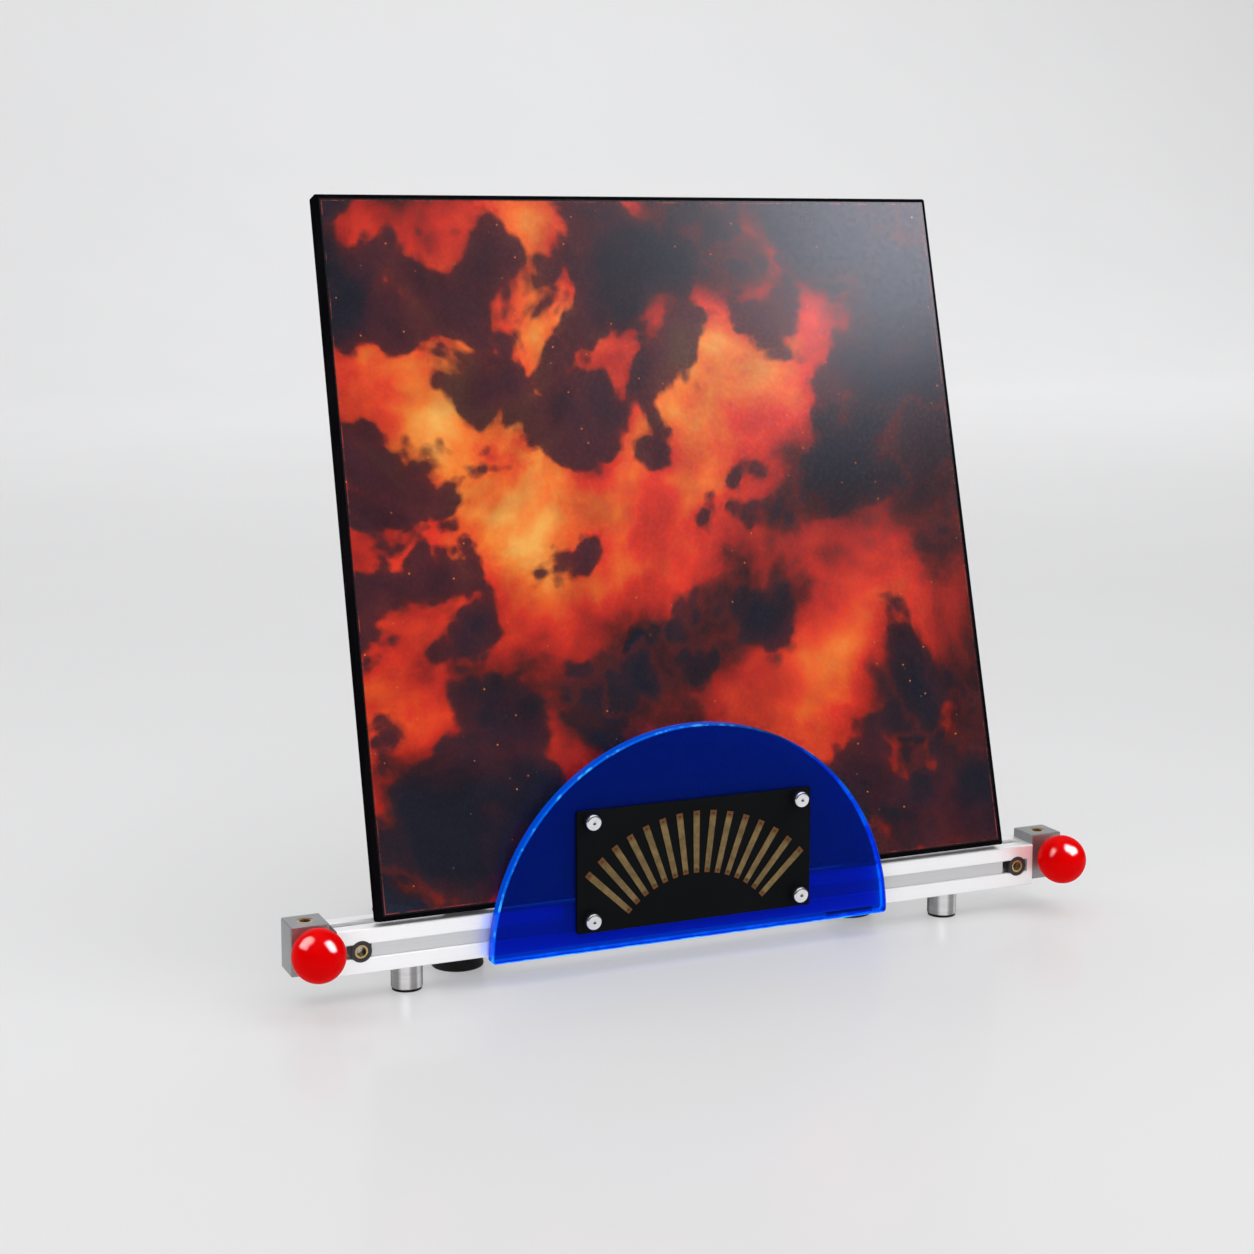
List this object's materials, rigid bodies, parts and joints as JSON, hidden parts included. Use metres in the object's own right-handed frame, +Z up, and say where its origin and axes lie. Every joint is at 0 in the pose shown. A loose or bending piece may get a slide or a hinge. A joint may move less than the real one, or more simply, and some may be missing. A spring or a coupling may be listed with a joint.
{
  "type": "record display stand",
  "caption": "Easel stand for a boxed record: slotted aluminium rail with rod clamps and red ball knobs at its ends, half-disc front plate with a fan panel, bent-strap legs behind.",
  "frame": {"origin": "on the floor, under the middle of the whole stand's bounding box", "axes": "+X along the rail to the stand's right seen from the front, +Y to the back, +Z up; the front plate faces -Y"},
  "size_m": [0.3942, 0.158, 0.3455],
  "materials": {
    "rail_aluminium": "satin anodised",
    "trim_grey": "satin",
    "black_plastic": "matte",
    "block_aluminium": "fine bead-blasted",
    "brass": "satin",
    "black_steel": "black satin powder coat",
    "screw_steel": "zinc plated",
    "red_gloss": "polished",
    "foot_steel": "turned and brushed",
    "rubber": "matte",
    "blue_acrylic": "polished translucent acrylic",
    "spacer_plastic": "matte",
    "panel_black": "matte",
    "pin_dark": "bronzed, dark",
    "bright_steel": "polished",
    "case_black": "laminated board, black edge",
    "print_card": "laminated print with an abstract design",
    "sleeve_paper": "smooth paper",
    "disc_vinyl": "grooved vinyl",
    "label_paper": "plain paper"
  },
  "bodies": {
    "stand": {"back_pad_left": "rubber", "back_pad_right": "rubber", "brass_strips": "brass", "crossbar_high": "black_steel", "crossbar_low": "black_steel", "crossbar_screws": "screw_steel", "easel_nuts": "screw_steel", "easel_screws": "screw_steel", "easel_strap_left": "black_steel", "easel_strap_right": "black_steel", "end_block_left": "block_aluminium", "end_block_right": "block_aluminium", "end_cap_left": "black_plastic", "end_cap_right": "trim_grey", "fan_panel": "panel_black", "foot_left": "foot_steel", "foot_pad_left": "rubber", "foot_pad_right": "rubber", "foot_right": "foot_steel", "front_plate": "blue_acrylic", "lock_bolt_left": "pin_dark", "lock_bolt_right": "pin_dark", "lock_bush_left": "black_steel", "lock_bush_right": "black_steel", "lock_ring_left": "brass", "lock_ring_right": "brass", "panel_screws": "bright_steel", "plate_nuts": "screw_steel", "plate_screws": "screw_steel", "plate_spacers": "spacer_plastic", "rail": "rail_aluminium", "rail_foot_nuts": "screw_steel", "rail_foot_screws": "screw_steel", "rod_bush_left": "brass", "rod_bush_right": "brass", "rubber_feet_back": "rubber", "rubber_feet_front": "rubber", "rubber_foot_screws": "screw_steel", "slot_cover_left": "trim_grey", "slot_cover_right": "trim_grey", "strip_pins": "pin_dark"},
    "clamp_pad_left": {"pressure_pad_left": "brass"},
    "knob_left": {"ball_knob_left": "red_gloss", "knob_stud_left": "screw_steel"},
    "clamp_pad_right": {"pressure_pad_right": "brass"},
    "knob_right": {"ball_knob_right": "red_gloss", "knob_stud_right": "screw_steel"},
    "record": {"record_case": "case_black", "cover_print": "print_card", "inner_sleeve_front": "sleeve_paper", "inner_sleeve_back": "sleeve_paper", "record_disc_front": "disc_vinyl", "record_disc_back": "disc_vinyl", "disc_labels": "label_paper"}
  },
  "joints": [
    {"name": "record_lift", "type": "slide", "parent": "stand", "child": "record", "axis": [0, 0.2588, 0.9659], "range_m": [0, 0.12]},
    {"name": "clamp_feed_left", "type": "slide", "parent": "stand", "child": "clamp_pad_left", "axis": [0, 1, 0], "range_m": [0, 0.0016]},
    {"name": "knob_turn_left", "type": "hinge", "parent": "clamp_pad_left", "child": "knob_left", "pos_m": [-0.1855, -0.06745, 0.027], "axis": [0, 1, 0], "range_deg": [0, 720]},
    {"name": "clamp_feed_right", "type": "slide", "parent": "stand", "child": "clamp_pad_right", "axis": [0, 1, 0], "range_m": [0, 0.0016]},
    {"name": "knob_turn_right", "type": "hinge", "parent": "clamp_pad_right", "child": "knob_right", "pos_m": [0.1855, -0.06745, 0.027], "axis": [0, 1, 0], "range_deg": [0, 720]}
  ],
  "couplings": [
    {"joint": "clamp_feed_left", "follows": "knob_turn_left", "m_per_rad": 0.0001273},
    {"joint": "clamp_feed_right", "follows": "knob_turn_right", "m_per_rad": 0.0001273}
  ]
}
